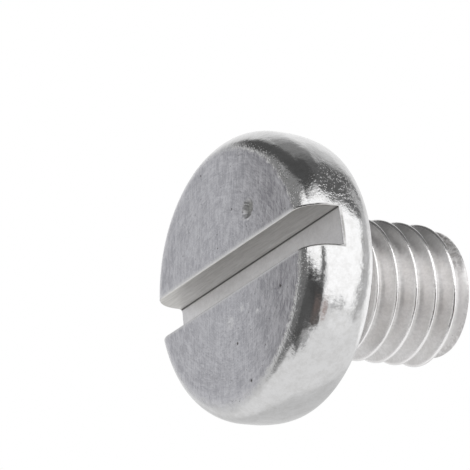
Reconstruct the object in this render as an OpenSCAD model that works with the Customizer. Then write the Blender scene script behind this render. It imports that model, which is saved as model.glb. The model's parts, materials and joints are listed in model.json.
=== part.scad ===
// Slotted pan head machine screw, standing on its head with the thread up.
// The driving face lies in the plane z = 0, the slot runs along X and the shank rises along +Z.

/* [Head] */
// Diameter of the head
head_d = 9.9; // [9:0.1:12]
// Height of the head, from the driving face to the bearing face
head_h = 2.7; // [2.5:0.05:4]
// Diameter of the flat part of the driving face
face_d = 8.2; // [6:0.1:8.6]
// Height of the rounding between the driving face and the widest part of the side
crown_h = 1.1; // [0.8:0.05:1.3]
// Height over which the side draws in towards the bearing face
shoulder_h = 1.3; // [0.5:0.05:1.5]
// Width by which the side draws in towards the bearing face
shoulder_w = 0.4; // [0.1:0.05:0.45]

/* [Slot] */
// Width of the slot
slot_w = 1.35; // [0.8:0.05:2]
// Depth of the slot
slot_t = 1.3; // [0.6:0.05:1.5]

/* [Shank] */
// Length under the head, from the bearing face to the end face
shank_l = 5.7; // [4.6:0.1:20]
// Diameter of the plain neck under the head
neck_d = 4.35; // [4.2:0.05:4.5]
// Radius of the fillet between the neck and the bearing face
neck_fillet = 0.35; // [0.3:0.05:0.4]
// Length of plain neck between the bearing face and the start of the thread
neck_l = 0.4; // [0.4:0.05:0.8]
// Length over which the thread rises out of the neck to its full depth
runout_l = 1; // [0.6:0.1:1.6]

/* [Thread] */
// Major diameter of the thread, which a rolled thread keeps a little under its nominal 5 mm
thread_d = 4.9; // [4.8:0.02:4.98]
// Pitch of the thread
pitch = 0.8; // [0.7:0.05:0.85]
// Angle from the slot at which the crest of the thread comes out at the end face
thread_turn = 0; // [0:5:355]

/* [Tip] */
// Diameter of the flat end face
end_d = 3.95; // [3.4:0.05:4.2]
// Height of the rounding between the end face and the crests of the thread
tip_h = 0.6; // [0.3:0.05:0.9]

/* [Hidden] */
$fn = 72;

// Steps of the helical surface in one turn
turn_steps = 40;
// Depth of a metric thread from crest to root, and the width of its crest, both as shares of the pitch
depth_share = 0.6134;
crest_share = 0.125;
// Share of the pitch that one 60 degree flank takes along the axis
flank_share = depth_share * tan(30);
// Root corners and root centre of the thread, as [place along the pitch, depth] shares
root_start = crest_share / 2 + flank_share * 0.9;
// How far the helical surface reaches past the two faces that cut it off
overrun = pitch * 1.5;
// How far one surface sinks below another that it meets at a shallow angle, so that the two cross cleanly
sink = 0.02;
// How far the shank reaches down into the head
sunk = 0.2;
// Steps of a quarter of an ellipse
arc_steps = 10;
// How far a cutting body reaches past what it cuts
past = 1;

// One pitch of the thread's outline, as [place along the pitch, depth], both as shares of the pitch
outline = [
    [-crest_share / 2, 0],
    [crest_share / 2, 0],
    [root_start, depth_share * 0.9],
    [0.5, depth_share],
    [1 - root_start, depth_share * 0.9],
];

// Where the thread starts to rise out of the neck, and where it has its full depth
runout_start = head_h + neck_l;
runout_end = runout_start + runout_l;
end_z = head_h + shank_l;

// Points of a quarter of an ellipse about a centre, between two angles
function quarter_ellipse(centre, size, from, to) = [
    for (i = [0:arc_steps])
        let (a = from + (to - from) * i / arc_steps)
        [centre[0] + size[0] * cos(a), centre[1] + size[1] * sin(a)],
];

// Smooth rise from 0 to 1 between two heights
function rise(z, low, high) =
    let (t = max(0, min(1, (z - low) / (high - low))))
    t * t * (3 - 2 * t);

// Radius of the helical surface at a height, for a depth below the crest
function surface_r(z, depth) =
    let (full = rise(z, runout_start, runout_end))
    neck_d / 2 * (1 - full) + (thread_d / 2 - depth * pitch) * full;

// Point of the helical surface at a step along the helix and a row of the outline
function surface_point(step, row) =
    let (
        angle = 360 * step / turn_steps,
        z = head_h - overrun + (step / turn_steps + outline[row][0]) * pitch,
        r = surface_r(z, outline[row][1])
    )
    [r * cos(angle), r * sin(angle), z];

// Closed body inside a right-hand helical surface, with a ramp across each end
module helical_body() {
    rows = len(outline);
    steps = turn_steps * (ceil((shank_l + overrun) / pitch) + 1);
    // The row past the last one is the first row of the turn above
    function at(step, row) = row < rows ? step * rows + row : (step + turn_steps) * rows;
    points = [
        for (step = [0:steps]) for (row = [0:rows - 1]) surface_point(step, row),
        [0, 0, surface_point(0, 0)[2]],
        [0, 0, surface_point(steps, rows - 1)[2]],
    ];
    low_centre = (steps + 1) * rows;
    high_centre = low_centre + 1;
    last_turn = steps - turn_steps;
    flanks = [
        for (step = [0:steps - 1]) for (row = [0:step < last_turn ? rows - 1 : rows - 2])
            for (half = [0, 1])
                half == 0
                    ? [at(step, row), at(step + 1, row + 1), at(step + 1, row)]
                    : [at(step, row), at(step, row + 1), at(step + 1, row + 1)],
    ];
    low_ramp = [for (step = [0:turn_steps - 1]) [low_centre, at(step, 0), at(step + 1, 0)]];
    low_wall = [for (row = [0:rows - 1]) [low_centre, at(0, row + 1), at(0, row)]];
    high_ramp = [
        for (step = [last_turn:steps - 1])
            [high_centre, at(step + 1, rows - 1), at(step, rows - 1)],
    ];
    high_wall = [
        [high_centre, at(last_turn, rows - 1), at(steps, 0)],
        for (row = [0:rows - 2]) [high_centre, at(steps, row), at(steps, row + 1)],
    ];
    polyhedron(points = points, faces = concat(flanks, low_ramp, low_wall, high_ramp, high_wall));
}

// Envelope that trims the helical body: plain along the shank and rounded towards the end face
module shank_envelope() {
    base_z = head_h - sunk;
    rotate_extrude()
        polygon(concat(
            [[0, base_z], [0, end_z]],
            quarter_ellipse([end_d / 2, end_z - tip_h], [thread_d / 2 + sink - end_d / 2, tip_h], 90, 0),
            [[thread_d / 2 + sink, base_z]]
        ));
}

// Threaded shank with its rounded tip
module shank() {
    crest_at_end = 360 * (shank_l + overrun) / pitch;
    intersection() {
        rotate([0, 0, thread_turn - crest_at_end])
            helical_body();
        shank_envelope();
    }
}

// Outline of the head from the driving face round to the neck
function head_outline() =
    let (
        side_r = head_d / 2,
        crown_w = side_r - face_d / 2,
        foot_r = neck_d / 2 - sink + neck_fillet
    )
    concat(
        quarter_ellipse([face_d / 2, crown_h], [crown_w, crown_h], -90, 0),
        quarter_ellipse([side_r - shoulder_w, head_h - shoulder_h], [shoulder_w, shoulder_h], 0, 90),
        quarter_ellipse([foot_r, head_h + neck_fillet], [neck_fillet, neck_fillet], 270, 180)
    );

// Pan head with its slot
module head() {
    difference() {
        rotate_extrude()
            polygon(concat([[0, 0]], head_outline(), [[0, head_h + neck_fillet]]));
        translate([-head_d / 2 - past, -slot_w / 2, -past])
            cube([head_d + 2 * past, slot_w, slot_t + past]);
    }
}

module screw() {
    color("silver") {
        head();
        shank();
    }
}

screw();
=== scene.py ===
# %% [markdown]
# # A slotted pan head machine screw
# This lesson dresses one small part: a stainless steel screw that stands on its head, slot down and thread up.
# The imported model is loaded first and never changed. It gives the frame: every point below is in the same
# coordinates, with the driving face in the plane z = 0, the slot along X and the shank along +Z.
# Sizes are written in millimetres, as on a drawing, and turned to metres only where a mesh is filled.

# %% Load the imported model
import json
import math

import bpy
import numpy as np
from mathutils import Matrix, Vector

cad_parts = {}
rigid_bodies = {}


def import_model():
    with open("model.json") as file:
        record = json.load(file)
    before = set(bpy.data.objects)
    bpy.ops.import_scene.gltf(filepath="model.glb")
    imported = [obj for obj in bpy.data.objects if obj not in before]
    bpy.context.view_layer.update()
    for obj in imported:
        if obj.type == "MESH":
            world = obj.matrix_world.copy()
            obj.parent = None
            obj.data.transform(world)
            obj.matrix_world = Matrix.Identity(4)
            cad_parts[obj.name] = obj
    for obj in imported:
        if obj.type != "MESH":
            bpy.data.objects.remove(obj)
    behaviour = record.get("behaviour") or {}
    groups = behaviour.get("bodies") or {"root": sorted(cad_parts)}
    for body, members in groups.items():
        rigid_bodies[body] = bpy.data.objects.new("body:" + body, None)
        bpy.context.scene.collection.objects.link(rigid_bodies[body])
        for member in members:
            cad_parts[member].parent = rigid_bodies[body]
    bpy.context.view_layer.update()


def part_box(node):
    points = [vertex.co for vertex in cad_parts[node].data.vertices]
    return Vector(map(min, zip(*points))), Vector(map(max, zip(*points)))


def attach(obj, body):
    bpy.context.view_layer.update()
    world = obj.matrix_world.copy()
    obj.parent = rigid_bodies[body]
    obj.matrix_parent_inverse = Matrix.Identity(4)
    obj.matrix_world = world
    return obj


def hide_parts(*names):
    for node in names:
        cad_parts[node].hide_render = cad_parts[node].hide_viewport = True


for thing in list(bpy.data.objects):
    bpy.data.objects.remove(thing)
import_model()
low, high = (np.array(corner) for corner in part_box("screw"))
print("packed screw, mm:", ((high - low) * 1000).round(3))

# %% [markdown]
# ## Driving dimensions
# A pan head is a short drum. Its driving face is flat, a soft quarter ellipse leads from there to the widest
# part of the side, and a second, slimmer ellipse draws the side in towards the bearing face. The outer sizes
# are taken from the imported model, so the drawing below can't drift away from it.

# %% Sizes in millimetres
MM = 0.001
head_r = (high[0] - low[0]) / 2 / MM
end_z = high[2] / MM
# Height of the head, radius of its flat, and height of the rounding round the flat
head_h, face_r, crown_h = 2.7, 4.1, 1.1
# Height and width of the ellipse that draws the side in towards the bearing face
shoulder_h, shoulder_w = 1.3, 0.4
# Half the slot's width, its depth, the radius of its rounded edges, and the length over which they run out
slot_half, slot_t, edge, fade_l = 0.675, 1.3, 0.08, 0.16
# Radius of the plain neck, and radius at which its fillet meets the bearing face
neck_r, foot_r = 2.175, 2.505
# Radius over the thread's crests, pitch, radius of the end face, and height of the rounding before it
thread_r, pitch, end_r, tip_h = 2.45, 0.8, 1.975, 0.6
# Length of the plain neck, and length over which the thread rises out of it
neck_l, runout_l = 0.4, 1.0
# Width of a crest and depth of the thread, both as shares of the pitch
crest_share, depth_share = 0.07, 0.6134
print("head radius", round(head_r, 3), "overall height", round(end_z, 3))

# %% [markdown]
# ## Spacing the grid lines
# A surface shines well only if its grid lines crowd together where it bends. One helper makes such a spacing:
# it walks from one end to the other in steps that start small, grow by a fixed factor and then stay even.
# A second one eases a value from 0 to 1, for places where one shape runs out into another.

# %% Graded spacing and a smooth rise
def graded(length, first, growth, widest):
    """Places from 0 to length: steps grow from first by growth up to widest, mirrored about the middle."""
    half = [0.0]
    step = first
    while half[-1] < length / 2:
        half.append(half[-1] + step)
        step = min(step * growth, widest)
    half = np.array(half) * (length / 2 / half[-1])
    return np.concatenate([half, length - half[-2::-1]])


def ease(value, start, stop):
    """Smooth rise from 0 at start to 1 at stop: t squared times (3 minus 2 t)."""
    t = np.clip((value - start) / (stop - start), 0, 1)
    return t * t * (3 - 2 * t)


print("one millimetre, graded:", graded(1.0, first=0.05, growth=1.6, widest=0.3).round(2))

# %% [markdown]
# ## The outline of the head
# The outline is a list of rows, each a radius and a height. A Screw modifier could spin such a line, but then
# the slot would have to be cut out of the result, and here it is to be part of the grid. Rows sit close
# together at the start of the rounding and around the depth of the slot, where the slot's edges are rounded.

# %% Rows of the outline
def side_radius(z):
    """Radius of the head at a height: face radius plus a quarter ellipse, then plain, then a slim ellipse."""
    crown = np.sqrt(np.clip(1 - ((crown_h - z) / crown_h) ** 2, 0, 1))
    lower = np.sqrt(np.clip(1 - ((z - (head_h - shoulder_h)) / shoulder_h) ** 2, 0, 1))
    radius = np.where(z < crown_h, face_r + (head_r - face_r) * crown, head_r)
    return np.where(z > head_h - shoulder_h, head_r - shoulder_w + shoulder_w * lower, radius)


crown_rows, shoulder_rows = 41, 28
crown_z = crown_h * (1 - np.cos(np.linspace(0, np.pi / 2, crown_rows)))
mouth_z = np.array([1.15, 1.2, 1.235, 1.26, 1.275, 1.288, slot_t])
below_z = slot_t + np.array([0.012, 0.025, 0.04, 0.065])
shoulder_z = head_h - shoulder_h + shoulder_h * np.sin(np.linspace(0, np.pi / 2, shoulder_rows))
upper_z = np.concatenate([crown_z, mouth_z])
lower_z = np.concatenate([[slot_t], below_z, shoulder_z])
print("rows above the slot's floor:", len(upper_z), "and below it:", len(lower_z) - 1)

# %% [markdown]
# ## Columns round the head
# Seen along the axis, the slot splits the head into two lobes. Columns crowd together near the four corners
# where the slot comes out, and run evenly between them. Below the slot the same columns carry on as one ring,
# so that no row of faces ends against another and no seam shows in the polish.

# %% Columns of the two lobes and of the slot's two ends
lobe_span = np.pi - 2 * math.asin(slot_half / head_r)
lobe_l = lobe_span * head_r
lobe_share = graded(lobe_l, first=0.01, growth=1.18, widest=0.155) / lobe_l
mouth_y = graded(2 * slot_half, first=0.012, growth=1.3, widest=0.12) - slot_half
lobe_n = len(lobe_share)


def lobe_angle(radius):
    """Angles of a lobe's columns at a radius: from the slot's one corner round to the other."""
    start = np.arcsin(slot_half / radius)
    return start[..., None] + (np.pi - 2 * start[..., None]) * lobe_share


ring_angle = np.concatenate([
    np.arcsin(mouth_y[:-1] / head_r),
    lobe_angle(np.array(head_r))[:-1],
    np.pi + np.arcsin(mouth_y[:-1] / head_r),
    np.pi + lobe_angle(np.array(head_r))[:-1],
])
columns = len(ring_angle)
print("columns round the ring:", columns)

# %% [markdown]
# ## Rounding off the slot's edges
# A milled slot has a fine rounded edge that catches the light as a thin bright line. A Bevel modifier could
# make it, but it would spoil the even grid. So the pattern is laid out with sharp edges first, and a point
# nearer than `edge` to such an edge then moves onto a small quarter circle.

# %% Quarter circle over an edge
def over_edge(away, other):
    """Moves of a point at a distance away from a sharp edge, along its own surface and into the other's depth.

    The point's share of the quarter circle is 45 degrees at the edge and 90 degrees at the distance `edge`.
    Its new distances from the two surfaces are edge times (1 - cosine) and edge times (1 - sine). The factor
    other fades both moves out."""
    angle = np.pi / 4 * (1 + np.clip(away / edge, 0, 1))
    along = np.where(away < edge, edge * (1 - np.cos(angle)) - away, 0.0)
    deep = np.where(away < edge, edge * (1 - np.sin(angle)), 0.0)
    return along * other, deep * other


print("moves of a point on the edge, mm:", np.round(over_edge(0.0, 1.0), 4))

# %% [markdown]
# ## Collecting points and faces
# All surfaces of the screw share their border points, so that the mesh is closed without any merging. A small
# store hands out numbers for new points, and grids of such numbers are turned into faces. Each face belongs to
# one of four zones of finish, numbered as the mesh's material slots will be.

# %% Store of points and faces
FACE, SLOT, THREAD, UNDER = 0, 1, 2, 3
points, quads, zones = [], [], []
count = 0


def add_points(coordinates):
    """Adds an array of points, in millimetres, and returns their numbers in the same shape."""
    global count
    coordinates = np.asarray(coordinates, float)
    numbers = count + np.arange(coordinates[..., 0].size).reshape(coordinates.shape[:-1])
    points.append(coordinates.reshape(-1, 3))
    count += numbers.size
    return numbers


def add_grid(numbers, zone, flip=False):
    """Faces between neighbouring rows and columns of a grid of point numbers, all in one zone of finish."""
    a, b, c, d = numbers[:-1, :-1], numbers[:-1, 1:], numbers[1:, 1:], numbers[1:, :-1]
    found = np.stack([a, d, c, b] if flip else [a, b, c, d], -1).reshape(-1, 4)
    quads.append(found)
    zones.append(np.full(len(found), zone))


def add_ring(numbers, zone):
    """Faces of a grid that closes on itself: its first column follows the last one again."""
    add_grid(np.hstack([numbers, numbers[:, :1]]), zone)


print("zones of finish:", dict(face=FACE, slot=SLOT, thread=THREAD, under=UNDER))

# %% [markdown]
# ## The two lobes and the walls of the slot
# Each lobe is made of four grids that share their borders: the rounded side, the slot's wall, the strip of the
# driving face beside the slot, and the flat beyond the strip. The second lobe is the first one turned half
# round. Cutting the slot with a Boolean would be quicker, but it leaves long thin faces that shine unevenly.

# %% Side of a lobe, down to the slot's floor
tiny = 1e-9
corner_fade = 1 - ease(upper_z, slot_t - fade_l, slot_t)


def inward(x, z):
    """Distance from the lip, and the direction away from it, in the plane of the slot's wall.

    The lip is a quarter ellipse in x and z. Its distance is minus the ellipse's formula over the length of
    that formula's gradient, and the direction is minus the gradient."""
    radius = np.hypot(x, slot_half)
    out = np.clip(radius - face_r, 0, None) / (head_r - face_r) ** 2
    up = (z - crown_h) / crown_h**2
    formula = np.clip(radius - face_r, 0, None) * out + (crown_h - z) ** 2 / crown_h**2 - 1
    across = out * x / radius
    size = np.hypot(across, up)
    plain = z >= crown_h
    lip_x = math.sqrt(head_r**2 - slot_half**2)
    away = np.where(plain, lip_x - np.abs(x), -formula / (2 * np.maximum(size, tiny)))
    go_x = np.where(plain, -np.sign(x), -across / np.maximum(size, tiny))
    go_z = np.where(plain, 0.0, -up / np.maximum(size, tiny))
    return np.clip(away, 0, None), go_x, go_z


def lobe_side():
    """Points (radius times cosine, radius times sine, height), pulled over the edge near the slot's corners."""
    radius, z = side_radius(upper_z)[:, None], upper_z[:, None]
    angle = lobe_angle(side_radius(upper_z))
    y = radius * np.sin(angle)
    along, deep = over_edge(y - slot_half, corner_fade[:, None])
    y = y + along
    x = np.sign(np.cos(angle)) * np.sqrt(np.clip(radius**2 - y**2, 0, None))
    lip_x = np.sign(np.cos(angle)) * np.sqrt(radius**2 - slot_half**2)
    _, go_x, go_z = inward(lip_x, z + 0 * y)
    return np.stack([x + deep * go_x, y, z + deep * go_z], -1)


side = lobe_side()
strip_w = edge * 1.6
strip_n = int(np.searchsorted(lobe_share * lobe_span * face_r, strip_w))
chord_n = lobe_n - 2 * strip_n
chord = graded(2.0, first=0.004, growth=1.2, widest=0.021)
chord_share = 1 - np.interp(np.linspace(0, len(chord) - 1, chord_n), np.arange(len(chord)), chord)
print("columns of a lobe:", lobe_n, "of its chord:", chord_n, "strip rows:", strip_n)

# %% Wall, strip and flat of a lobe
flat_rows = 84


def wall():
    """Points of the slot's wall: rows at the outline's heights, pulled over the lip where they are near it."""
    x = np.sqrt(side_radius(upper_z) ** 2 - slot_half**2)[:, None] * chord_share
    z = upper_z[:, None] + 0 * x
    away, go_x, go_z = inward(x, z)
    along, deep = over_edge(away, corner_fade[:, None])
    return np.stack([x + along * go_x, slot_half + deep, z + along * go_z], -1)


def face_strip():
    """Rows of the driving face beside the slot, from the lip inwards, spaced as the lobe's columns are."""
    y = face_r * np.sin(lobe_angle(np.array(face_r)))[: strip_n + 1]
    along, deep = over_edge(y - slot_half, 1.0)
    x = np.sqrt(face_r**2 - y**2)[:, None] * chord_share
    return np.stack([x, (y + along)[:, None] + 0 * x, deep[:, None] + 0 * x], -1)


def face_flat(border, arc):
    """Straight columns from the strip to the rounding: border times (1 - share) plus arc times share."""
    share = np.linspace(0, 1, flat_rows)[:, None, None]
    return border * (1 - share) + arc * share


print("points of a wall:", wall()[..., 0].size, "and of a strip:", face_strip()[..., 0].size)

# %% [markdown]
# ## Knocks in the flat
# Loose screws knock against each other while they are tumbled and packed, and that leaves small dents in the
# flat. A bump pattern would do for the finest, but the larger ones are deep enough to shade their own floor,
# so all of them are pressed into the mesh. Each dent is a turned ellipse with a steep wall.

# %% Dents by place and size
# Place in x and y, half the length and half the width, turn in degrees, and depth. The first three, together,
# make up the large dent.
knocks = np.array([
    [1.60, -1.77, 0.37, 0.24, -66, 0.150],
    [1.80, -1.62, 0.07, 0.05, -66, 0.060],
    [1.62, -1.52, 0.09, 0.05, -30, 0.060],
    [0.66, -2.09, 0.05, 0.04, 0, 0.040],
    [-1.08, -1.18, 0.06, 0.04, 80, 0.030],
    [2.87, 1.51, 0.07, 0.05, 0, 0.040],
    [0.05, 2.50, 0.07, 0.05, 60, 0.040],
    [0.58, 3.95, 0.07, 0.04, 100, 0.040],
    [0.11, 3.78, 0.06, 0.04, 20, 0.020],
    [-1.26, 3.07, 0.05, 0.05, 0, 0.015],
    [-0.20, 1.67, 0.16, 0.10, 30, 0.020],
    [0.54, 1.42, 0.10, 0.06, 80, 0.015],
])
wall_share = 0.45


def knocked(x, y):
    """Depth of the dents at x, y: a steep wall and a shallow bowl, by the distance inside a turned ellipse.

    With d the squared distance, 1 at the rim, the depth is deep times (1 - d) eased from 0 to wall_share,
    times (1 - d / 3). Where dents overlap, the deepest counts."""
    total = 0 * x
    for at_x, at_y, long_r, short_r, turned, deep in knocks:
        c, s = math.cos(math.radians(turned)), math.sin(math.radians(turned))
        dx, dy = x - at_x, y - at_y
        square = ((dx * c + dy * s) / long_r) ** 2 + ((dy * c - dx * s) / short_r) ** 2
        bowl = 1 - np.minimum(square, 1) / 3
        total = np.maximum(total, deep * ease(1 - square, 0.0, wall_share) * bowl)
    return total


print("deepest dent, mm:", knocks[:, -1].max())

# %% Both lobes into the store
half_turn = np.array([-1.0, -1.0, 1.0])
slot_bottom, ring_top = [], []
for spin in (np.ones(3), half_turn):
    side_id = add_points(side * spin)
    strip, wall_points = face_strip(), wall()
    strip_id = np.empty(strip.shape[:2], int)
    strip_id[:, 0] = side_id[0, : strip_n + 1]
    strip_id[:, -1] = side_id[0, ::-1][: strip_n + 1]
    strip_id[:, 1:-1] = add_points(strip[:, 1:-1] * spin)
    wall_id = np.empty(wall_points.shape[:2], int)
    wall_id[:, 0], wall_id[:, -1] = side_id[:, 0], side_id[:, -1]
    wall_id[0, 1:-1] = strip_id[0, 1:-1]
    wall_id[1:, 1:-1] = add_points(wall_points[1:, 1:-1] * spin)
    arc_id = side_id[0, strip_n : lobe_n - strip_n]
    flat = face_flat(strip[-1], side[0, strip_n : lobe_n - strip_n])
    flat[..., 2] += knocked(flat[..., 0] * spin[0], flat[..., 1] * spin[1])
    flat_id = np.empty(flat.shape[:2], int)
    flat_id[0], flat_id[-1] = strip_id[-1], arc_id
    flat_id[:, 0], flat_id[:, -1] = arc_id[0], arc_id[-1]
    flat_id[1:-1, 1:-1] = add_points(flat[1:-1, 1:-1] * spin)
    add_grid(side_id, FACE)
    add_grid(strip_id, FACE)
    add_grid(flat_id, FACE)
    add_grid(wall_id, SLOT, flip=True)
    slot_bottom.append(wall_id[-1])
    ring_top.append(side_id[-1])
print("points of the two lobes:", count)

# %% [markdown]
# ## The floor of the slot
# The floor spans the two walls. Its two short ends lie on the head's side, where they get a rounded edge as
# well, and the ring below the slot takes over from there.

# %% Floor of the slot and the ring below it
def floor():
    """Points (share of the half chord at this y, y, slot depth), pulled over the edge near the short ends."""
    y = mouth_y[:, None]
    reach = np.sqrt(head_r**2 - y**2)
    x = reach * chord_share
    fade = ease(slot_half - np.abs(y), 0, fade_l)
    along, deep = over_edge(reach - np.abs(x), fade)
    return np.stack([x - np.sign(x) * along, y + 0 * x, slot_t + deep], -1)


def ring_below():
    """Rings (radius times cosine, radius times sine, height) from the slot's floor to the bearing face.

    At the slot's two ends they are pulled over the edge of its floor."""
    z = lower_z[1:, None]
    y = head_r * np.sin(ring_angle)
    in_mouth = np.abs(y) < slot_half
    fade = np.where(in_mouth, ease(slot_half - np.abs(y), 0, fade_l), 0.0)
    along, deep = over_edge(z - slot_t, fade)
    radius = side_radius(z) - deep
    return np.stack([radius * np.cos(ring_angle), radius * np.sin(ring_angle), z + along], -1)


floor_points = floor()
floor_id = np.empty(floor_points.shape[:2], int)
floor_id[0] = slot_bottom[1][::-1]
floor_id[-1] = slot_bottom[0]
floor_id[1:-1] = add_points(floor_points[1:-1])
add_grid(floor_id, SLOT)
mouth_ends = floor_id[:-1, 0], floor_id[::-1, -1][:-1]
top_row = np.concatenate([mouth_ends[0], ring_top[0][:-1], mouth_ends[1], ring_top[1][:-1]])
ring_id = np.vstack([top_row, add_points(ring_below())])
add_ring(ring_id, FACE)
print("points so far:", count)

# %% [markdown]
# ## The bearing face and the fillet
# Under the head the ring's uneven columns are led to even ones across the flat bearing face, so that the
# thread gets an even grid. A small fillet then turns up into the plain neck.

# %% Bearing face and fillet
bearing_steps, fillet_steps = 13, 8
even_angle = ring_angle[0] + 2 * np.pi * np.arange(columns) / columns
fillet = foot_r - neck_r
across = np.linspace(0, 1, bearing_steps + 1)[1:, None]
under_angle = ring_angle + (even_angle - ring_angle) * across
under_r = head_r - shoulder_w + (foot_r - head_r + shoulder_w) * across
under = np.stack([under_r * np.cos(under_angle), under_r * np.sin(under_angle), head_h + 0 * under_angle], -1)
bend = np.linspace(0, np.pi / 2, fillet_steps + 1)[1:, None] + 0 * even_angle
fillet_r = foot_r - fillet * np.sin(bend)
fillet_z = head_h + fillet * (1 - np.cos(bend))
fillet_rows = np.stack([fillet_r * np.cos(even_angle), fillet_r * np.sin(even_angle), fillet_z], -1)
under_id = np.vstack([ring_id[-1], add_points(np.vstack([under, fillet_rows]))])
add_ring(under_id, UNDER)
print("rows under the head:", len(under_id), "and fillet radius, mm:", round(fillet, 3))

# %% [markdown]
# ## The thread
# A rolled thread is one surface over the angle and the way along the shank. Rows of the grid climb with the
# helix, one pitch for each turn, so that crest and root edges run along grid lines and shine as clean lines.
# A Screw modifier would make the helix too, but not the way it rises out of the neck and dies in the tip.

# %% Cross section of one pitch
section_half = np.array([0.024, 0.050, 0.085, 0.20, 0.30, 0.40, 0.455])
section_at = np.concatenate([[-0.5], -section_half[::-1], [0.0], section_half])
rows_per_pitch = len(section_at)
crest_soft, root_soft = 0.045, 0.14


def hinge(value, soft):
    """The larger of value and 0, with a parabola of half width soft in place of the corner."""
    eased = np.where(value > soft, value, (value + soft) ** 2 / (4 * soft))
    return np.where(value < -soft, 0.0, eased)


def thread_depth(share):
    """Depth below the crest, as a share of the pitch: none on the crest, a 60 degree flank, a rounded root.

    share is the way from a crest's middle in pitches. Its distance to the nearest crest's middle, less half
    the crest, over the tangent of 30 degrees gives the flank, and the root cuts it off at the full depth."""
    away = np.abs((share + 0.5) % 1.0 - 0.5)
    flank = (away - crest_share / 2) / math.tan(math.radians(30))
    gap = np.clip(depth_share - hinge(flank, crest_soft), -1, 1)
    return depth_share - hinge(gap, root_soft)


print("depth at 0, a quarter and half a pitch:", thread_depth(np.array([0, 0.25, 0.5])).round(3))

# %% [markdown]
# Row and column of the grid give a way `w` along the shank. It goes up the side, round the tip and across the
# end face. The radius is the smaller of the thread's and the tip's, joined with a soft corner.

# %% The shank's surface
start_w = head_h + fillet
straight_end = end_z - tip_h
round_l = math.pi / 2 * math.sqrt(((thread_r - end_r) ** 2 + tip_h**2) / 2)
# Radius of the small disc that closes the end face, and where the grid stops before it
last_r = 0.3
stop_w = straight_end + round_l + end_r - last_r
# How far the end face lies off centre, and towards which side
end_shift, fuller_side = 0.27, math.radians(92)
# How far the tip's outline stands proud of the crests, and the width of the corner between the two
tip_proud, tip_corner = 0.006, 0.03


def end_radius(angle):
    """Radius of the end face at an angle: end_r plus end_shift times the cosine from the fuller side."""
    return end_r + end_shift * np.cos(angle - fuller_side)


def envelope(w, angle):
    """Radius and height a way w along the plain outline: up the side, round a quarter ellipse, across the end.

    The end face is a little off centre, so the ellipse is wider on one side."""
    turn = np.clip((w - straight_end) / round_l, 0, 1) * np.pi / 2
    inner_r = end_radius(angle)
    across = np.clip((w - straight_end - round_l) / (end_r - last_r), 0, 1)
    radius = inner_r + (thread_r - inner_r) * np.cos(turn) - (inner_r - last_r) * across
    return radius, np.minimum(w, straight_end) + tip_h * np.sin(turn)


def softer(a, b, width):
    """The smaller of a and b, less a parabola a quarter of width deep where the two are alike."""
    gap = np.clip((width - np.abs(a - b)) / width, 0, 1)
    return np.minimum(a, b) - gap**2 * width / 4


def shank_points(w, angle):
    """Points of the shank at a way w and an angle: neck radius blended into the thread's, cut by the tip."""
    outer, z = envelope(w, angle)
    full = ease(z, head_h + neck_l, head_h + neck_l + runout_l)
    share = (z - end_z) / pitch - angle / (2 * np.pi)
    threaded = neck_r * (1 - full) + (thread_r - thread_depth(share) * pitch) * full
    radius = softer(threaded, outer + tip_proud, tip_corner)
    on_end = w > straight_end + round_l
    radius = np.where(on_end, outer * np.minimum(1, threaded / end_radius(angle)), radius)
    return np.stack([radius * np.cos(angle), radius * np.sin(angle), z], -1)


print("way along the shank, mm, from", round(start_w, 3), "to", round(stop_w, 3))

# %% [markdown]
# The rows climb, but the neck and the end face are level. So a point whose way lies past one of these two
# borders, or nearly on it, is replaced by the border's own point. The last column takes the points of the
# first one a turn further on, which closes the surface.

# %% Rows that climb with the helix
# Share of the space between two rows, within which a row gives way to the border
give_way = 0.35
last_space = 0.05
turns_below = math.ceil((end_z - start_w) / pitch) + 2
turns_above = math.ceil((stop_w - end_z) / pitch) + 1
row_at = np.concatenate([turn_no + section_at for turn_no in range(-turns_below, turns_above)])
angle = np.concatenate([even_angle, even_angle[:1] + 2 * np.pi])
w = end_z + pitch * (row_at[:, None] + angle / (2 * np.pi))
space = np.diff(row_at, append=row_at[-1] + last_space)[:, None] * pitch
low_side, high_side = w < start_w + give_way * space, w > stop_w - give_way * space
kept_rows = ~(low_side.all(1) | high_side.all(1))
first, last = np.flatnonzero(kept_rows)[[0, -1]]
rows = slice(first - 1, last + 2)
w, low_side, high_side = w[rows], low_side[rows], high_side[rows]
print("rows of the shank:", len(w))

# %% Thread and end face into the store
body_points = shank_points(np.clip(w, start_w, stop_w), angle)
numbers = np.full(w.shape, -1)
inner = ~(low_side | high_side)
inner[:, -1] = False
numbers[inner] = add_points(body_points[inner])
rim = np.stack([last_r * np.cos(even_angle), last_r * np.sin(even_angle), end_z + 0 * even_angle], -1)
rim_id = add_points(rim)
column_of = np.concatenate([np.arange(columns), [0]])
numbers = np.where(low_side, under_id[-1][column_of], numbers)
numbers = np.where(high_side, rim_id[column_of], numbers)
wrapped = np.concatenate([numbers[rows_per_pitch:, 0], np.full(rows_per_pitch, rim_id[0])])
at_end = np.where(high_side[:, -1], rim_id[0], wrapped)
numbers[:, -1] = np.where(low_side[:, -1], under_id[-1][0], at_end)
add_grid(numbers, THREAD)
centre_id = add_points(np.array([[0.0, 0.0, end_z]]))
centre_row = np.full(columns, centre_id[0])
quads.append(np.stack([rim_id, np.roll(rim_id, -1), centre_row, centre_row], -1))
zones.append(np.full(columns, THREAD))
print("points in all:", count)

# %% [markdown]
# ## One closed mesh
# Where grid lines run into a border, some faces have two corners alike: they become triangles, or nothing.
# Merging by distance would tidy them too, but it could join the fine rows of the slot's edges as well. Faces
# that meet at more than `crease` keep a hard edge in the shading, and all others are smooth.

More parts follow.
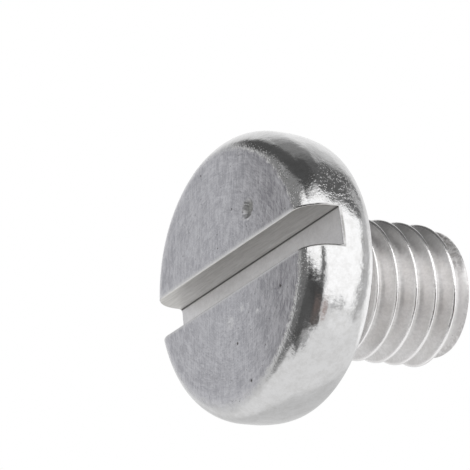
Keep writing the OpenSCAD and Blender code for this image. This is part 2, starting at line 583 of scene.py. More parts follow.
# %% Fill the mesh
def fill_mesh(name, coordinates, faces, zone):
    """Makes a mesh of faces of four point numbers.

    A repeated corner is left out, and a face with fewer than three corners left goes."""
    kept = np.stack([faces[:, k] != faces[:, k - 1] for k in range(4)], -1)
    kept &= ~((faces[:, [0]] == faces[:, [2]]) & (np.arange(4) == 2))
    kept &= ~((faces[:, [1]] == faces[:, [3]]) & (np.arange(4) == 3))
    sizes = kept.sum(1)
    good = sizes > 2
    corners = faces[good][kept[good]]
    sizes = sizes[good]
    used, corners = np.unique(corners, return_inverse=True)
    starts = np.concatenate([[0], np.cumsum(sizes)[:-1]])
    mesh = bpy.data.meshes.new(name)
    mesh.vertices.add(len(used))
    mesh.vertices.foreach_set("co", (coordinates[used] * MM).astype(np.float32).ravel())
    mesh.loops.add(len(corners))
    mesh.loops.foreach_set("vertex_index", corners.ravel().astype(np.int32))
    mesh.polygons.add(len(sizes))
    mesh.polygons.foreach_set("loop_start", starts.astype(np.int32))
    mesh.update(calc_edges=True)
    mesh.polygons.foreach_set("material_index", zone[good].astype(np.int32))
    mesh.validate()
    print(name, "has", len(used), "points and", int((sizes - 2).sum()), "triangles")
    return mesh


crease = math.radians(40)
mesh = fill_mesh("screw_steel", np.concatenate(points), np.concatenate(quads), np.concatenate(zones))
mesh.shade_smooth()
mesh.set_sharp_from_angle(angle=crease)
screw = bpy.data.objects.new("screw_body", mesh)
bpy.context.scene.collection.objects.link(screw)
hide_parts("screw")
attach(screw, "root")

# %% [markdown]
# ## Steel
# The whole screw is one alloy. Only its finish changes: the driving face is tumbled to a cool satin, the
# rounding is polished, the slot shows the cutter's lengthwise marks, and the rolled thread is brighter on its
# crests. Each finish is one Principled shader of full metal. Noise on Object coordinates, in millimetres, gives
# its colour, roughness and relief, so the marks have their real size and stay in place from every side.

# %% A new steel and its inputs
def new_steel(name):
    """An empty node material with one Principled shader of full metal, and the tools to add nodes to it."""
    material = bpy.data.materials.new(name)
    material.use_nodes = True
    tree = material.node_tree
    tree.nodes.clear()
    output = tree.nodes.new("ShaderNodeOutputMaterial")
    shader = tree.nodes.new("ShaderNodeBsdfPrincipled")
    shader.inputs["Metallic"].default_value = 1.0
    tree.links.new(shader.outputs["BSDF"], output.inputs["Surface"])
    return material, tree, shader


def put(tree, target, value):
    """Feeds an input with another node's output, or sets it to a number or colour."""
    if isinstance(value, bpy.types.NodeSocket):
        tree.links.new(value, target)
    else:
        target.default_value = value


def put_named(tree, node, **values):
    """Feeds a node's inputs by name, with _ in a word's place for a space."""
    for name, value in values.items():
        put(tree, node.inputs[name.replace("_", " ")], value)


print("helpers:", [step.__name__ for step in (new_steel, put, put_named)])

# %% [markdown]
# ### Formulas in nodes
# A node tree is a formula drawn as boxes. Adding each box by hand takes four lines and hides the formula. With
# one function for each kind of sum, a tree reads like arithmetic, and every function returns an output that
# the next one can take.

# %% Arithmetic
def maths(tree, operation, *values):
    """Output of a Math node for one, two or three values."""
    node = tree.nodes.new("ShaderNodeMath")
    node.operation = operation
    for target, value in zip(node.inputs, values):
        put(tree, target, value)
    return node.outputs[0]


def times(tree, a, b):
    """a times b."""
    return maths(tree, "MULTIPLY", a, b)


def plus(tree, a, b):
    """a plus b."""
    return maths(tree, "ADD", a, b)


def minus(tree, a, b):
    """a minus b."""
    return maths(tree, "SUBTRACT", a, b)


def larger(tree, a, b):
    """The larger of a and b."""
    return maths(tree, "MAXIMUM", a, b)


def unsigned(tree, a):
    """a without its sign."""
    return maths(tree, "ABSOLUTE", a)


def times_plus(tree, value, factor, rest):
    """value times factor, plus the rest."""
    return maths(tree, "MULTIPLY_ADD", value, factor, rest)


print("arithmetic:", [step.__name__ for step in (times, plus, minus, larger, unsigned, times_plus)])

# %% [markdown]
# A smooth step turns noise or a distance into a mask. Masks then mix numbers or colours. A Color Ramp would do
# the same for colours, but its stops are fixed, while here each end may come from another node.

# %% Smooth steps and mixes
def ramp(tree, value, start, stop, low=0.0, high=1.0):
    """A smooth step from low to high while value goes from start to stop."""
    node = tree.nodes.new("ShaderNodeMapRange")
    node.interpolation_type = "SMOOTHSTEP"
    put_named(tree, node, Value=value, From_Min=start, From_Max=stop, To_Min=low, To_Max=high)
    return node.outputs[0]


def choose(tree, share, first, second):
    """Mix of two numbers by a share."""
    node = tree.nodes.new("ShaderNodeMix")
    for target, value in zip((node.inputs[0], node.inputs[2], node.inputs[3]), (share, first, second)):
        put(tree, target, value)
    return node.outputs[0]


def blend_colour(tree, share, first, second):
    """Mix of two colours by a share."""
    node = tree.nodes.new("ShaderNodeMix")
    node.data_type = "RGBA"
    put(tree, node.inputs[0], share)
    put(tree, node.inputs[6], (*first, 1) if isinstance(first, tuple) else first)
    put(tree, node.inputs[7], (*second, 1) if isinstance(second, tuple) else second)
    return node.outputs[2]


print("masks and mixes:", [step.__name__ for step in (ramp, choose, blend_colour)])

# %% [markdown]
# ### Patterns in millimetres
# Five patterns are enough for all finishes: clouds of noise, small round specks, arcs about the screw's axis,
# hairlines, and a soft spot round one place. A picture of scratched steel would need unwrapping and would blur
# close up. Noise stays sharp, and it gets a direction when the coordinates are stretched first.

# %% Places on the screw
def place_mm(tree, scale=(1, 1, 1), turn=(0, 0, 0)):
    """Object coordinates in millimetres, stretched by scale after a turn in degrees."""
    source = tree.nodes.new("ShaderNodeTexCoord").outputs["Object"]
    turned = tree.nodes.new("ShaderNodeVectorRotate")
    turned.rotation_type = "EULER_XYZ"
    turned.inputs["Rotation"].default_value = [math.radians(angle) for angle in turn]
    tree.links.new(source, turned.inputs["Vector"])
    sized = tree.nodes.new("ShaderNodeVectorMath")
    sized.operation = "MULTIPLY"
    tree.links.new(turned.outputs[0], sized.inputs[0])
    sized.inputs[1].default_value = [number / MM for number in scale]
    return sized.outputs[0]


def parts_of(tree, vector):
    """The parts x, y and z of a place."""
    split = tree.nodes.new("ShaderNodeSeparateXYZ")
    put(tree, split.inputs[0], vector)
    return tuple(split.outputs)


def about_axis(tree, x, y):
    """Distance from the axis, the root of x squared plus y squared, and x and y divided by that distance."""
    radius = maths(tree, "SQRT", times_plus(tree, x, x, times(tree, y, y)))
    return radius, maths(tree, "DIVIDE", x, radius), maths(tree, "DIVIDE", y, radius)


print("places:", [step.__name__ for step in (place_mm, parts_of, about_axis)])

# %% Clouds, specks, arcs, hairlines and spots
def cloud(tree, vector, scale, detail, roughness=0.5, distortion=0.0):
    """A noise value between 0 and 1, with scale features per millimetre of the vector."""
    node = tree.nodes.new("ShaderNodeTexNoise")
    put_named(tree, node, Vector=vector, Scale=scale, Detail=detail, Roughness=roughness, Distortion=distortion)
    return node.outputs["Fac"]


def specks(tree, vector, scale, radius, chance):
    """Small round spots, 1 inside and 0 outside.

    They sit in the cells of a Voronoi pattern, of which a share by chance hold a spot."""
    node = tree.nodes.new("ShaderNodeTexVoronoi")
    put_named(tree, node, Vector=vector, Scale=scale)
    spot = ramp(tree, node.outputs["Distance"], radius, radius * 0.35)
    colour = tree.nodes.new("ShaderNodeSeparateColor")
    tree.links.new(node.outputs["Color"], colour.inputs[0])
    return times(tree, spot, maths(tree, "LESS_THAN", colour.outputs[0], chance))


def arcs(tree, radius, x_share, y_share, density, length):
    """Noise drawn out into arcs about the axis: fine across the radius, long round the angle."""
    node = tree.nodes.new("ShaderNodeCombineXYZ")
    put(tree, node.inputs[0], times(tree, radius, density))
    put(tree, node.inputs[1], times(tree, x_share, length))
    put(tree, node.inputs[2], times(tree, y_share, length))
    return cloud(tree, node.outputs[0], 1.0, 3.0, 0.65, 0.9)


def near(tree, vector, place, reach):
    """1 at a place in millimetres, falling smoothly to 0 at a distance of reach."""
    node = tree.nodes.new("ShaderNodeVectorMath")
    node.operation = "DISTANCE"
    put(tree, node.inputs[0], vector)
    node.inputs[1].default_value = place
    return ramp(tree, node.outputs["Value"], reach, reach * 0.35)


def hairlines(tree, turn, density, length):
    """Fine lines along one direction: noise that is stretched along it, sharpened to thin crests."""
    noise = cloud(tree, place_mm(tree, (length, density, density), turn), 1.0, 1.0, 0.6, 0.3)
    return ramp(tree, unsigned(tree, minus(tree, noise, 0.5)), 0.03, 0.0)


print("patterns:", [step.__name__ for step in (cloud, specks, arcs, near, hairlines)])

# %% [markdown]
# Marks a few thousandths of a millimetre deep are far finer than the mesh. A Bump node tilts the shading
# instead of moving points, which is all that the eye needs at that depth.

# %% Relief in thousandths of a millimetre
def relief(tree, shader, height, depth_mm):
    """Bump for the shader: a height of 1 stands depth_mm proud."""
    node = tree.nodes.new("ShaderNodeBump")
    node.inputs["Strength"].default_value = 1.0
    node.inputs["Distance"].default_value = depth_mm * MM
    tree.links.new(height, node.inputs["Height"])
    tree.links.new(node.outputs[0], shader.inputs["Normal"])


relief_mm = 0.006
print("usual relief, mm:", relief_mm)

# %% [markdown]
# ### Head
# Tumbling leaves a satin of short hairlines in all directions on the flat, over the faint rings of the turning
# tool. On the rounding it polishes. The border between the two is ragged, because it is worn and not cut. Two
# materials would meet along a row of faces, in a clean line. So satin and polish are two halves of one
# material, and noise moves the border between them.

# %% Head: patterns that relief, roughness and colour share
class HeadPatterns:
    """The nodes of the head's patterns, each made once and used by several steps below."""

    def __init__(self, tree):
        self.fine = fine = place_mm(tree)
        self.x, self.y, self.z = parts_of(tree, fine)
        self.radius, x_share, y_share = about_axis(tree, self.x, self.y)
        self.fine_arcs = arcs(tree, self.radius, x_share, y_share, density=11.0, length=12.0)
        self.long_arcs = arcs(tree, self.radius, x_share, y_share, density=9.0, length=3.5)
        self.strokes = cloud(tree, place_mm(tree, (2.2, 14, 14), (0, 0, 76)), 1.0, 3.0, 0.65, 0.8)
        one_way = hairlines(tree, (0, 0, 78), density=9.0, length=0.9)
        other_way = hairlines(tree, (0, 0, 130), density=10.0, length=1.2)
        self.lines = plus(tree, one_way, other_way)
        self.grain = cloud(tree, fine, 14.0, 3.0, 0.6)
        self.patchy = cloud(tree, fine, 1.5, 4.0, 0.62)
        large_pits = specks(tree, fine, 2.2, 0.10, 0.12)
        self.pits = larger(tree, large_pits, specks(tree, fine, 5.5, 0.16, 0.14))


def satin_share(tree, head):
    """1 on the satin and 0 on the polish.

    The border is the flat's radius moved by noise. It is wide where x is small and narrow where x is large."""
    noise = minus(tree, cloud(tree, head.fine, 4.0, 5.0, 0.75), 0.5)
    ragged = times_plus(tree, noise, 0.55, head.radius)
    border = ramp(tree, head.x, -1.0, 2.6, 0.62, 0.14)
    satin = ramp(tree, ragged, plus(tree, border, face_r), face_r + 0.02)
    return times(tree, satin, ramp(tree, head.z, 0.5, 0.2))


# %% [markdown]
# The flat's relief is hairlines, grain and rings, with pits pressed into it. The rounding has a long soft
# swell, and small dimples in two places: where tumbling wore the border, and on one side beside the slot.

# %% Head: relief
def satin_relief(tree, head):
    """Height of the flat: 0.25 of the lines, 1.3 of the grain and 1.6 of the arcs, less 2.5 of the pits."""
    height = times_plus(tree, head.lines, 0.25, times(tree, head.grain, 1.3))
    height = times_plus(tree, head.fine_arcs, 1.6, height)
    return times_plus(tree, head.pits, -2.5, height)


def polish_relief(tree, head):
    """Height of the rounding: broad and medium swell, less the dimples where they are, plus a fine grain."""
    broad = times(tree, cloud(tree, head.fine, 1.9, 2.0), 2.6)
    swell = times_plus(tree, cloud(tree, head.fine, 9.0, 3.0, 0.6), 0.5, broad)
    by_face = ramp(tree, head.radius, face_r + 0.55, face_r + 0.1)
    by_face = times(tree, by_face, ramp(tree, head.x, 1.2, 3.2, 0.2, 1.0))
    hammered = near(tree, head.fine, (4.7, -1.5, 1.55), 1.35)
    dimples = plus(tree, specks(tree, head.fine, 10.0, 0.45, 0.6), specks(tree, head.fine, 15.0, 0.45, 0.5))
    peel = larger(tree, times(tree, by_face, 1.2), times(tree, hammered, 0.75))
    height = times_plus(tree, dimples, times(tree, peel, -1.0), swell)
    return times_plus(tree, cloud(tree, head.fine, 16.0, 3.0, 0.65), 0.30, height)


# %% [markdown]
# The satin is bluish, and painted shade makes it darker towards one side. Broken hairlines and the lip of the
# slot are paler, pale spots on and beside the dents are scuffs with a painted highlight, and the pits and dents
# are painted dark. The polish is nearly even, with a dull smear here and there and a broken painted dark
# reflection just beside the slot.

# %% Head: names for its colours, and places of its marks and painted highlights
SATIN_GREY, SATIN_PALE = (0.43, 0.43, 0.465), (0.66, 0.66, 0.695)
# Painted shade: the satin's colours for its darker side, towards +x.
SHADED_SATIN_GREY, SHADED_SATIN_PALE = (0.20, 0.195, 0.215), (0.48, 0.475, 0.50)
# The last colour on the next line is for scuffs and a painted highlight.
HAIRLINE, LIP, SCUFF_AND_HIGHLIGHT = (0.85, 0.85, 0.87), (0.74, 0.74, 0.745), (0.88, 0.88, 0.89)
# The first and last colours on the next line paint pits and dents dark.
PIT, DENT, DENT_DARK = (0.10, 0.095, 0.09), (0.38, 0.38, 0.345), (0.07, 0.065, 0.06)
# The last colour on the next line paints a dark reflection beside the slot.
POLISH, SMEAR, DARK_REFLECTION = (0.645, 0.645, 0.648), (0.575, 0.572, 0.57), (0.16, 0.155, 0.15)
# Pale spots, most on and beside the dents: scuffs with a painted highlight.
# Place in millimetres, and how far the spot reaches
scuffs_and_highlights = (
    ((1.34, -1.50, 0), 0.16),
    ((1.52, -1.42, 0), 0.13),
    ((-0.20, 1.67, 0), 0.30),
    ((0.54, 1.42, 0), 0.16),
    ((1.39, 1.84, 0), 0.12),
)
# Dark spots painted in the dents.
dark_dent_spots = (
    ((1.84, -1.63, 0.05), 0.09),
    ((1.68, -1.50, 0.05), 0.10),
    ((0.66, -2.09, 0), 0.06),
    ((2.87, 1.51, 0), 0.07),
    ((0.05, 2.5, 0), 0.07),
    ((0.58, 4.0, 0), 0.08),
)
large_dent = ((1.60, -1.77, 0.05), 0.42)
print("scuffs:", len(scuffs_and_highlights), "and spots of grime:", len(dark_dent_spots))


# %% Head: colour of the satin
def satin_tone(tree, head):
    """Plain satin and satin with painted shade, each between its grey and its pale by the same sum of arcs,
    strokes and patches.
    """
    tone = times_plus(tree, head.fine_arcs, 0.25, times(tree, head.long_arcs, 0.15))
    tone = times_plus(tree, head.strokes, 0.30, tone)
    tone = times_plus(tree, head.patchy, 0.30, tone)
    tone = ramp(tree, tone, 0.405, 0.595)
    # Painted shade: the satin grows darker towards +x, in patches.
    shaded_side = times(tree, ramp(tree, head.x, -0.2, 3.4), ramp(tree, head.patchy, 0.2, 0.6, 0.7, 1.0))
    plain_satin = blend_colour(tree, tone, SATIN_GREY, SATIN_PALE)
    shaded_satin = blend_colour(tree, tone, SHADED_SATIN_GREY, SHADED_SATIN_PALE)
    return blend_colour(tree, shaded_side, plain_satin, shaded_satin)


def satin_colour(tree, head):
    """The satin's tone, with hairlines, dark pits, the slot's lip, the large dent, scuffs with a painted
    highlight and dark spots in the dents on it.
    """
    colour = satin_tone(tree, head)
    colour = blend_colour(tree, times(tree, head.lines, 0.16), colour, HAIRLINE)
    # The pits are painted dark.
    colour = blend_colour(tree, times(tree, head.pits, 0.75), colour, PIT)
    lip = ramp(tree, unsigned(tree, head.y), slot_half + 0.17, slot_half + 0.05)
    colour = blend_colour(tree, times(tree, lip, 0.75), colour, LIP)
    colour = blend_colour(tree, times(tree, near(tree, head.fine, *large_dent), 0.6), colour, DENT)
    broken = ramp(tree, head.grain, 0.3, 0.7, 0.1, 0.75)
    # Scuffs with a painted highlight: pale spots, broken up by the grain.
    for place, reach in scuffs_and_highlights:
        colour = blend_colour(tree, times(tree, near(tree, head.fine, place, reach), broken), colour, SCUFF_AND_HIGHLIGHT)
    # Dark spots painted in the dents.
    for place, reach in dark_dent_spots:
        colour = blend_colour(tree, near(tree, head.fine, place, reach), colour, DENT_DARK)
    return colour


# %% Head: colour of the polish
def polish_colour(tree, head):
    """Polished steel with dull smears, and a broken painted dark reflection just beside the slot."""
    smear = ramp(tree, cloud(tree, head.fine, 3.2, 5.0, 0.75), 0.38, 0.68)
    # Painted dark reflection: a broken dark line on the polish just beside the slot.
    off_slot = minus(tree, unsigned(tree, head.y), slot_half)
    above_floor = ramp(tree, head.z, slot_t + 0.12, slot_t + 0.07)
    beside = times(tree, ramp(tree, off_slot, 0.10, 0.05), above_floor)
    painted_reflection = times(tree, beside, ramp(tree, head.patchy, 0.35, 0.6, 0.2, 0.75))
    return blend_colour(tree, painted_reflection, blend_colour(tree, smear, POLISH, SMEAR), DARK_REFLECTION)


# %% Head: the finished steel
def head_steel():
    """Satin inside the face radius, polish outside it, each with its own relief, roughness and colour."""
    material, tree, shader = new_steel("head_steel")
    head = HeadPatterns(tree)
    satin = satin_share(tree, head)
    relief(tree, shader, choose(tree, satin, polish_relief(tree, head), satin_relief(tree, head)), relief_mm)
    polish_rough = ramp(tree, head.grain, 0.3, 0.7, 0.08, 0.15)
    satin_rough = times_plus(tree, head.patchy, 0.16, 0.28)
    put(tree, shader.inputs["Roughness"], choose(tree, satin, polish_rough, satin_rough))
    colour = blend_colour(tree, satin, polish_colour(tree, head), satin_colour(tree, head))
    put(tree, shader.inputs["Base Color"], colour)
    return material


mesh.materials.append(head_steel())
print("nodes in the head's steel:", len(mesh.materials[FACE].node_tree.nodes))

# %% [markdown]
# ### Slot
# A disc cutter mills the slot, and its marks run lengthwise, so the noise is stretched along X. The floor is
# paler and duller than the walls, and painted shade darkens the corner where they meet. A second object for the
# floor could carry its own material, but a ramp over the height does it on one closed mesh.

# %% Slot steel
WALL_GREY, WALL_PALE = (0.60, 0.59, 0.565), (0.72, 0.71, 0.69)
BED_GREY, BED_PALE, BED_DULL = (0.84, 0.835, 0.85), (0.90, 0.895, 0.91), (0.66, 0.655, 0.665)
# Painted shade for the corner where floor and walls meet.
CORNER_SHADE = (0.10, 0.095, 0.085)


def slot_steel():
    """Milled steel: streaks along X, a lighter and duller floor, and a dark line of painted shade where floor
    and walls meet.
    """
    material, tree, shader = new_steel("slot_steel")
    fine = place_mm(tree)
    x, y, z = parts_of(tree, fine)
    on_floor = ramp(tree, z, slot_t - 0.03, slot_t - 0.008)
    streaks = cloud(tree, place_mm(tree, (1.1, 9, 9)), 1.0, 4.0, 0.7, 0.5)
    flecks = ramp(tree, cloud(tree, fine, 5.0, 4.0, 0.75), 0.35, 0.65)
    broad = cloud(tree, place_mm(tree, (0.45, 3, 3)), 1.0, 3.0)
    from_wall = minus(tree, slot_half, unsigned(tree, y))
    from_floor = minus(tree, slot_t, z)
    # Painted shade: a dark line along the corner where floor and walls meet.
    corner = ramp(tree, plus(tree, from_wall, from_floor), 0.06, 0.015)
    wall_colour = blend_colour(tree, ramp(tree, streaks, 0.35, 0.65), WALL_GREY, WALL_PALE)
    bed = blend_colour(tree, ramp(tree, broad, 0.3, 0.7), BED_GREY, BED_PALE)
    duller = times_plus(tree, flecks, 0.35, ramp(tree, x, 1.5, 4.5, 0.0, 0.35))
    bed = blend_colour(tree, duller, bed, BED_DULL)
    colour = blend_colour(tree, on_floor, wall_colour, bed)
    colour = blend_colour(tree, times(tree, corner, 0.75), colour, CORNER_SHADE)
    put(tree, shader.inputs["Base Color"], colour)
    wall_rough = times_plus(tree, broad, 0.2, 0.26)
    put(tree, shader.inputs["Roughness"], choose(tree, on_floor, wall_rough, 0.48))
    relief(tree, shader, streaks, relief_mm)
    return material


mesh.materials.append(slot_steel())
print("finishes so far:", [look.name for look in mesh.materials])

# %% [markdown]
# ### Thread
# The thread is rolled between dies, and its marks run both round the shank and across it. The crests are
# burnished bright and the roots stay duller. Painting them by hand would need an unwrapped helix. The distance
# from the axis tells them apart just as well, so colour and roughness follow it. The rounded tip is paler, and
# it is battered on one side.

# %% Thread steel
FLANK_GREY, FLANK_PALE, MARK = (0.685, 0.67, 0.66), (0.765, 0.755, 0.755), (0.53, 0.52, 0.515)
CREST, TIP, CHIP = (0.86, 0.85, 0.85), (0.84, 0.83, 0.83), (0.32, 0.30, 0.285)


def tip_chips(tree, fine, tip, y_share, z):
    """Chips on the tip: specks and flakes, most on the side of smaller y, fewer along the end face's rim."""
    flaked = ramp(tree, cloud(tree, fine, 6.0, 4.0, 0.8), 0.44, 0.58)
    chips = times(tree, larger(tree, specks(tree, fine, 8.0, 0.5, 0.5), flaked), tip)
    one_side = ramp(tree, y_share, 0.1, -0.6, 0.1, 0.8)
    at_rim = ramp(tree, z, end_z - 0.2, end_z - 0.06, 0.0, 0.4)
    return times(tree, chips, larger(tree, one_side, at_rim))


def thread_steel():
    """Rolled steel: marks round the axis and across it, bright crests, duller flanks, and a pitted tip."""
    material, tree, shader = new_steel("thread_steel")
    fine = place_mm(tree)
    x, y, z = parts_of(tree, fine)
    radius, _, y_share = about_axis(tree, x, y)
    marks = cloud(tree, place_mm(tree, (1.1, 1.1, 12)), 1.0, 3.0, 0.6, 0.3)
    across = cloud(tree, place_mm(tree, (10, 10, 1.6)), 1.0, 3.0, 0.65, 0.4)
    soft = cloud(tree, fine, 1.6, 4.0, 0.62)
    crest = ramp(tree, radius, thread_r - 0.10, thread_r - 0.03)
    tip_start = end_z - tip_h
    tip = ramp(tree, times_plus(tree, soft, 0.3, z), tip_start + 0.05, tip_start + 0.30)
    tip = times(tree, tip, ramp(tree, radius, end_r - 0.45, end_r - 0.15))
    pits = specks(tree, fine, 3.0, 0.13, 0.10)
    chips = tip_chips(tree, fine, tip, y_share, z)

    colour = blend_colour(tree, ramp(tree, soft, 0.3, 0.7), FLANK_GREY, FLANK_PALE)
    colour = blend_colour(tree, times(tree, ramp(tree, across, 0.35, 0.65), 0.4), colour, MARK)
    burnished = times(tree, crest, ramp(tree, marks, 0.25, 0.5, 0.5, 1.0))
    colour = blend_colour(tree, burnished, colour, CREST)
    colour = blend_colour(tree, times(tree, tip, 0.8), colour, TIP)
    spots = larger(tree, times(tree, pits, 0.6), times(tree, chips, 0.75))
    put(tree, shader.inputs["Base Color"], blend_colour(tree, spots, colour, CHIP))

    flank_rough = ramp(tree, radius, thread_r - 0.34, thread_r - 0.44, 0.26, 0.46)
    rough = times_plus(tree, marks, 0.12, choose(tree, crest, flank_rough, 0.10))
    put(tree, shader.inputs["Roughness"], times_plus(tree, tip, 0.08, rough))
    height = times_plus(tree, across, 1.3, times(tree, marks, 0.8))
    height = times_plus(tree, pits, -1.5, height)
    relief(tree, shader, times_plus(tree, chips, -5.0, height), 0.005)
    return material


mesh.materials.append(thread_steel())
print("finishes so far:", [look.name for look in mesh.materials])

# %% [markdown]
# ### Bearing face
# A lathe tool cuts the underside of the head flat and leaves fine rings. The same arcs as on the driving face,
# drawn out longer, give them their tone, roughness and relief.

# %% Bearing steel
TURNED_GREY, TURNED_PALE = (0.62, 0.615, 0.61), (0.72, 0.715, 0.71)


def bearing_steel():
    """Turned steel: satin with fine rings."""
    material, tree, shader = new_steel("bearing_steel")
    x, y, _ = parts_of(tree, place_mm(tree))
    rings = arcs(tree, *about_axis(tree, x, y), density=12.0, length=2.0)
    colour = blend_colour(tree, ramp(tree, rings, 0.3, 0.7), TURNED_GREY, TURNED_PALE)
    put(tree, shader.inputs["Base Color"], colour)
    put(tree, shader.inputs["Roughness"], times_plus(tree, rings, 0.14, 0.20))
    relief(tree, shader, rings, relief_mm)
    return material


mesh.materials.append(bearing_steel())
print("finishes:", [look.name for look in mesh.materials])

# %% [markdown]
# ## Floor
# The screw stands on a pale floor. The photograph looks at the driving face from below the floor, so the
# floor lets those rays through from behind, and neither blocks light nor shows in the steel. Leaving the floor
# out would do for that one view, but from above the screw would hang in white.

# %% Floor
half = 400 * MM
below = -2e-5
PAPER = (0.95, 0.95, 0.95, 1)
floor_mesh = bpy.data.meshes.new("floor")
corners = [(-half, -half, below), (half, -half, below), (half, half, below), (-half, half, below)]
floor_mesh.from_pydata(corners, [], [(0, 1, 2, 3)])
stand = bpy.data.objects.new("floor", floor_mesh)
bpy.context.scene.collection.objects.link(stand)
for kind in ("diffuse", "glossy", "transmission", "volume_scatter", "shadow"):
    setattr(stand, "visible_" + kind, False)
pale = bpy.data.materials.new("pale_floor")
pale.use_nodes = True
tree = pale.node_tree
tree.nodes.clear()
output = tree.nodes.new("ShaderNodeOutputMaterial")
paper = tree.nodes.new("ShaderNodeBsdfDiffuse")
paper.inputs["Color"].default_value = PAPER
through = tree.nodes.new("ShaderNodeBsdfTransparent")
side_of = tree.nodes.new("ShaderNodeNewGeometry")
pick = tree.nodes.new("ShaderNodeMixShader")
tree.links.new(side_of.outputs["Backfacing"], pick.inputs[0])
tree.links.new(paper.outputs[0], pick.inputs[1])
tree.links.new(through.outputs[0], pick.inputs[2])
tree.links.new(pick.outputs[0], output.inputs["Surface"])
floor_mesh.materials.append(pale)
print("floor, mm across:", round(2 * half / MM))

# %% [markdown]
# ## The studio in the steel
# Polished steel has hardly a colour of its own: it shows the room. In a studio that is soft boxes, dark cards
# and the gaps between them. Lamps and card meshes could be set up round the screw, but they would show in other
# views and shade each other. So the room is painted on the world by direction, as soft rectangles one over
# another. Worn steel mirrors no straight rims, so a noise moves the rims a little.

# %% A soft rectangle in the sky
rim_wobble = math.radians(22)


def direction(azimuth, elevation):
    """Unit vector from an azimuth counted from +X towards +Y and an elevation above the floor, in degrees."""
    a, e = math.radians(azimuth), math.radians(elevation)
    return (math.cos(e) * math.cos(a), math.cos(e) * math.sin(a), math.sin(e))


def sky_patch(tree, azimuth, elevation, wide, tall, soft):
    """Weight of a soft rectangle in the sky, of half its width and half its height in degrees.

    The angles of a ray sideways and upwards from the centre are the arc tangents of its parts along those
    directions over its part ahead. The noise times rim_wobble is added to both. The weight is 1 inside the
    rectangle and 0 beyond the soft rim."""
    centre = np.array(direction(azimuth, elevation))
    across = np.array(direction(azimuth + 90, 0))
    above = np.cross(centre, across)
    source = tree.nodes.new("ShaderNodeTexCoord").outputs["Generated"]
    parts = []
    for axis in (centre, across, above):
        dot = tree.nodes.new("ShaderNodeVectorMath")
        dot.operation = "DOT_PRODUCT"
        tree.links.new(source, dot.inputs[0])
        dot.inputs[1].default_value = axis
        parts.append(dot.outputs["Value"])
    ahead, sideways, upwards = parts
    wobble = minus(tree, cloud(tree, source, 8.0, 3.0, 0.6), 0.5)
    weight = ramp(tree, ahead, 0.0, 0.02)
    for part, half_angle in ((sideways, wide), (upwards, tall)):
        angle = unsigned(tree, maths(tree, "ARCTAN2", part, ahead))
        angle = times_plus(tree, wobble, rim_wobble, angle)
        inside = ramp(tree, angle, math.radians(half_angle + soft), math.radians(half_angle))
        weight = times(tree, weight, inside)
    return weight


print("straight up is", np.round(direction(0, 90), 3))

# %% [markdown]
# Each row is one patch, and later rows cover earlier ones. The numbers were found by trying, until the
# reflections in the rounding, the slot and the thread came near those in the photograph. A value over 1 makes
# up for what steel swallows, so that it mirrors a soft box as white. Warmth takes green and blue away, down to
# a faint brown.

# %% Studio patches
# Azimuth, elevation, half the width, half the height and soft rim in degrees, then value and warmth
studio_patches = (
    # The room: its ceiling, two pale areas on the side of -X, and the dark below
    (0, 90, 10, 10, 12, 1.40, 0.0),
    (159, 35, 22, 16, 20, 0.74, 0.0),
    (10, -90, 24, 24, 20, 0.22, 0.0),
    (-160, -32, 32, 22, 24, 0.79, 0.0),
    # Dark cards on the side of -Y
    (-84, -3, 10, 27, 30, 0.30, 0.0),
    (-90, -24, 34, 12, 12, 0.11, 0.0),
    (-66, -2, 10, 22, 10, 0.10, 0.0),
    (-64, 36, 12, 16, 15, 0.15, 0.0),
    (-98, -54, 30, 11, 8, 0.32, 0.0),
    # Soft boxes
    (-20, -8, 25, 62, 3, 1.50, 0.0),
    (-42, -46, 12, 12, 5, 1.50, 0.0),
    (38, 42, 14, 10, 6, 1.12, 0.0),
    (8, 28, 24, 26, 4, 1.50, 0.0),
    (4, -42, 13, 20, 3, 1.50, 0.0),
    # Grey gaps between the boxes
    (-10, 67, 34, 4, 5, 0.66, 0.0),
    (-2, 58, 16, 1.0, 1.5, 0.42, 0.0),
    (34, 51, 5, 1.0, 1.5, 0.55, 0.0),
    (38.5, 20, 1.2, 14, 3, 0.62, 0.0),
    # Dark cards in front of the boxes
    (36, -38, 17, 32, 5, 0.080, 0.0),
    (12, -12, 15, 4.0, 3, 0.16, 0.0),
    (62, -52, 14, 17, 10, 0.12, 0.0),
    # Faint brown and grey streaks
    (41, 5, 1, 2, 10, 0.50, 0.5),
    (42, -18, 1, 2, 13, 0.20, 0.50),
    (68, -28, 2, 14, 5, 0.45, 0.0),
)
over_white = [row for row in studio_patches if row[5] > 1]
print("patches:", len(studio_patches), "of which brighter than white:", len(over_white))

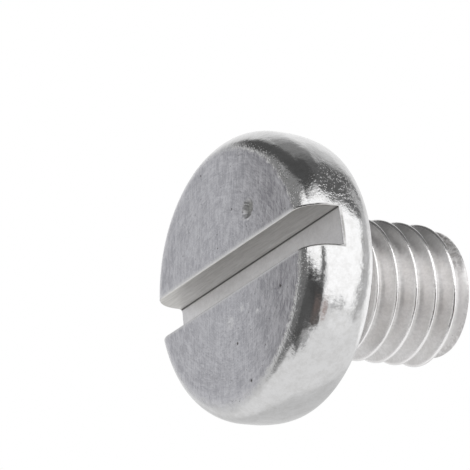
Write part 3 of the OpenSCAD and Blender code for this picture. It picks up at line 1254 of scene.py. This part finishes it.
# %% World
WHITE = (1.0, 1.0, 1.0)
less_green, less_blue = 0.35, 0.45
world = bpy.data.worlds.new("studio")
world.use_nodes = True
bpy.context.scene.world = world
sky = world.node_tree
backdrop = sky.nodes["Background"]
ray = sky.nodes.new("ShaderNodeLightPath")
in_steel = larger(sky, ray.outputs["Is Glossy Ray"], ray.outputs["Is Transmission Ray"])
level = blend_colour(sky, in_steel, (0.9, 0.9, 0.9), WHITE)
for *shape, value, warmth in studio_patches:
    tinted = (value, value * (1 - less_green * warmth), value * (1 - less_blue * warmth))
    level = blend_colour(sky, sky_patch(sky, *shape), level, tinted)
seen = blend_colour(sky, ray.outputs["Is Camera Ray"], level, WHITE)
put(sky, backdrop.inputs["Color"], seen)
print("nodes in the world:", len(sky.nodes))

# %% [markdown]
# ## Camera
# The picture was taken with a long lens, from below the driving face and from one side. The camera's three
# directions and the place of the origin in its view were fitted to the outlines of the head, the slot and the
# thread in the photograph. A Track To constraint could aim it, but a fitted camera is also rolled, so its
# whole matrix is set.

# %% Camera
focal_px, image_px = 4500, 470
right = np.array([0.53513, 0.11618, 0.83674])
down = np.array([-0.36150, 0.92672, 0.10252])
forward = np.array([-0.76351, -0.35734, 0.53792])
origin_seen = np.array([-0.232, 1.3086, 150.5931])
place = -(right * origin_seen[0] + down * origin_seen[1] + forward * origin_seen[2]) * MM
lens = bpy.data.cameras.new("photo_camera")
lens.sensor_width = 36
lens.lens = focal_px / image_px * lens.sensor_width
lens.clip_start, lens.clip_end = 0.01, 10
camera = bpy.data.objects.new("photo_camera", lens)
matrix = np.eye(4)
matrix[:3, 0], matrix[:3, 1], matrix[:3, 2], matrix[:3, 3] = right, -down, -forward, place
camera.matrix_world = matrix.T.tolist()
bpy.context.scene.collection.objects.link(camera)
bpy.context.scene.camera = camera
print("camera at, mm:", (place / MM).round(1))

# %% [markdown]
# ## Finish
# The view transform is set to Standard, and the view layer is brought up to date.

# %% Standard view and update
bpy.context.scene.view_settings.view_transform = "Standard"
bpy.context.view_layer.update()
